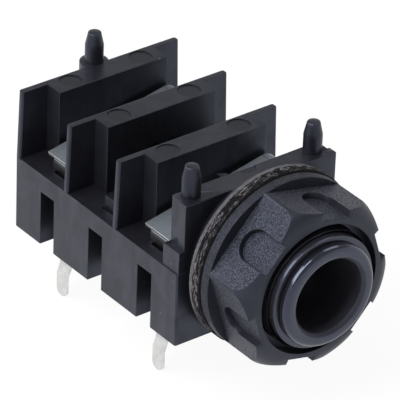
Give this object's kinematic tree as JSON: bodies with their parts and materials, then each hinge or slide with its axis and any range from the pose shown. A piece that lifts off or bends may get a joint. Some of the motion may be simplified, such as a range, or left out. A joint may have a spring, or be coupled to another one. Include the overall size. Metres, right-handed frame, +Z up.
{
  "type": "audio jack socket",
  "caption": "Panel jack socket for a 6.35 mm plug: black moulded body with ribs and pegs, threaded bush with round nut and fibre washer, leaf springs with switch contacts and solder pins.",
  "frame": {"origin": "on the plug's axis, at the front face of the front plate", "axes": "+Z up, away from the solder pins; -Y out of the bush's mouth, so that a plug goes in along +Y; +X to the right for someone who looks into the bush"},
  "size_m": [0.0164, 0.0334, 0.021],
  "materials": {
    "housing": "satin moulded",
    "nut": "fine grained flats, smooth front edge",
    "fibre": "punched fibre",
    "contact": "tin plated"
  },
  "bodies": {
    "socket_body": {"housing": "housing", "tip_switch_contact": "contact", "sleeve_switch_contact": "contact"},
    "washer_body": {"washer": "fibre"},
    "nut_body": {"nut": "nut"},
    "tip_spring_body": {"tip_spring": "contact"},
    "sleeve_spring_body": {"sleeve_spring": "contact"}
  },
  "joints": [
    {"name": "washer_slide", "type": "slide", "parent": "socket_body", "child": "washer_body", "axis": [0, -1, 0], "range_m": [0, 0.004]},
    {"name": "nut_turn", "type": "hinge", "parent": "washer_body", "child": "nut_body", "pos_m": [0, 0, 0], "axis": [0, -1, 0], "range_deg": [0, 1920]},
    {"name": "tip_flex", "type": "hinge", "parent": "socket_body", "child": "tip_spring_body", "pos_m": [0.0051, 0.01785, 0.00278], "axis": [0, 1, 0], "range_deg": [0, 5], "stiffness_Nm_per_rad": 0.3, "springref_deg": -1.72, "deforming": ["tip_spring"]},
    {"name": "sleeve_flex", "type": "hinge", "parent": "socket_body", "child": "sleeve_spring_body", "pos_m": [0.0051, 0.00435, 0.00278], "axis": [0, 1, 0], "range_deg": [0, 5], "stiffness_Nm_per_rad": 0.3, "springref_deg": -1.72, "deforming": ["sleeve_spring"]}
  ],
  "couplings": [
    {"joint": "nut_turn", "follows": "washer_slide", "rad_per_m": 8377.6}
  ]
}
